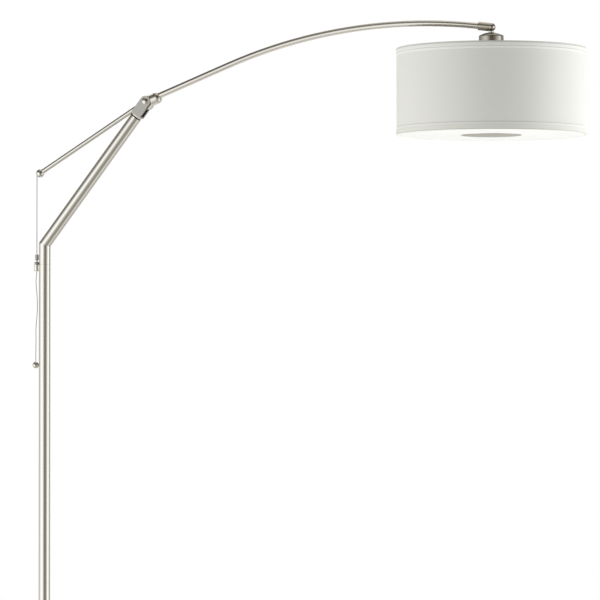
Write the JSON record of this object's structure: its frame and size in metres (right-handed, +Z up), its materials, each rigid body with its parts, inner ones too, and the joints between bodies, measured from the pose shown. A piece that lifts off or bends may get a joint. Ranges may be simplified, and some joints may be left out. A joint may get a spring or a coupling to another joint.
{
  "type": "arc floor lamp",
  "caption": "Arc floor lamp: weighted round base, pole with inclined top, tilting boom held by a wire and release gripper, plumb-hanging drum shade.",
  "frame": {"origin": "on the floor, at the pole's axis", "axes": "+Z up along the pole, +X towards the shade"},
  "size_m": [1.7576, 0.5078, 2.0989],
  "materials": {
    "nickel": "satin",
    "dark_metal": "satin",
    "plain_steel": "plain",
    "wire_rope": "stranded",
    "iron": "rough",
    "felt": "felt",
    "rubber": "matt",
    "nylon": "matt",
    "lead_sheath": "matt",
    "shade_wire": "white",
    "shade_fabric": "fine weave",
    "shade_tape": "tape",
    "opal": "opal",
    "holder": "glazed",
    "bulb_brass": "plain",
    "bulb_glass": "frosted"
  },
  "bodies": {
    "stand": {"base_cover": "nickel", "base_weight": "iron", "base_pad": "felt", "cord_grommet": "rubber", "pole_foot": "nickel", "base_washer": "plain_steel", "base_nut": "plain_steel", "pole_lower": "nickel", "coupler_lower": "plain_steel", "pole_middle": "nickel", "coupler_upper": "plain_steel", "pole_upper": "nickel", "fork": "nickel", "pivot_bolt": "nickel", "pivot_nut": "nickel", "pivot_discs": "nylon", "pole_lead": "lead_sheath", "gripper_body": "nickel", "gripper_stud": "nickel", "gripper_cap": "dark_metal", "gripper_spring": "plain_steel"},
    "boom": {"boom_hub": "nickel", "arc_arm": "nickel", "boom_lead": "lead_sheath", "rear_arm": "nickel", "rear_ball": "nickel", "wire_stop": "plain_steel", "tip_ferrule": "nickel", "tip_pin": "nickel"},
    "head": {"stem": "nickel", "canopy": "nickel", "shade_frame": "shade_wire", "shade_drum": "shade_fabric", "top_trim": "shade_tape", "bottom_trim": "shade_tape", "bottom_ring": "shade_wire", "diffuser": "opal", "diffuser_plate": "nickel", "diffuser_rod": "plain_steel", "stem_nut": "plain_steel", "lamp_cluster": "plain_steel", "lampholders": "holder", "bulb_caps": "bulb_brass", "bulb_glasses": "bulb_glass"},
    "plunger": {"gripper_plunger": "nickel", "gripper_balls": "plain_steel"},
    "wire_lower": {"lift_wire_lower": "wire_rope"},
    "wire_upper": {"lift_wire_upper": "wire_rope"},
    "tail": {"tail_wire": "wire_rope", "pull_ball": "nickel"}
  },
  "joints": [
    {"name": "boom_tilt", "type": "hinge", "parent": "stand", "child": "boom", "pos_m": [0.30828, 0, 1.89975], "axis": [0, 1, 0], "range_deg": [0, 38], "deforming": ["lift_wire_lower", "lift_wire_upper", "tail_wire"]},
    {"name": "head_hang", "type": "hinge", "parent": "boom", "child": "head", "pos_m": [1.30144, 0, 2.07394], "axis": [0, 1, 0], "range_deg": [-38.01, 0]},
    {"name": "gripper_press", "type": "slide", "parent": "stand", "child": "plunger", "axis": [0, 0, -1], "range_m": [0, 0.003], "stiffness_N_per_m": 800, "springref_m": -0.002, "deforming": ["gripper_spring"]},
    {"name": "wire_lean", "type": "hinge", "parent": "stand", "child": "wire_lower", "pos_m": [-0.024, 0, 1.48], "axis": [0, 1, 0], "range_deg": [-6.34, 0]},
    {"name": "wire_feed", "type": "slide", "parent": "wire_lower", "child": "wire_upper", "axis": [0, 0, 1], "range_m": [0, 0.24966]},
    {"name": "tail_draw", "type": "slide", "parent": "stand", "child": "tail", "axis": [0, 0, 1], "range_m": [0, 0.24966]}
  ],
  "couplings": [
    {"joint": "head_hang", "follows": "boom_tilt", "ratio": -1},
    {"joint": "wire_lean", "follows": "boom_tilt", "ratio": -0.16662},
    {"joint": "wire_feed", "follows": "boom_tilt", "m_per_rad": 0.37629},
    {"joint": "tail_draw", "follows": "boom_tilt", "m_per_rad": 0.37629}
  ]
}
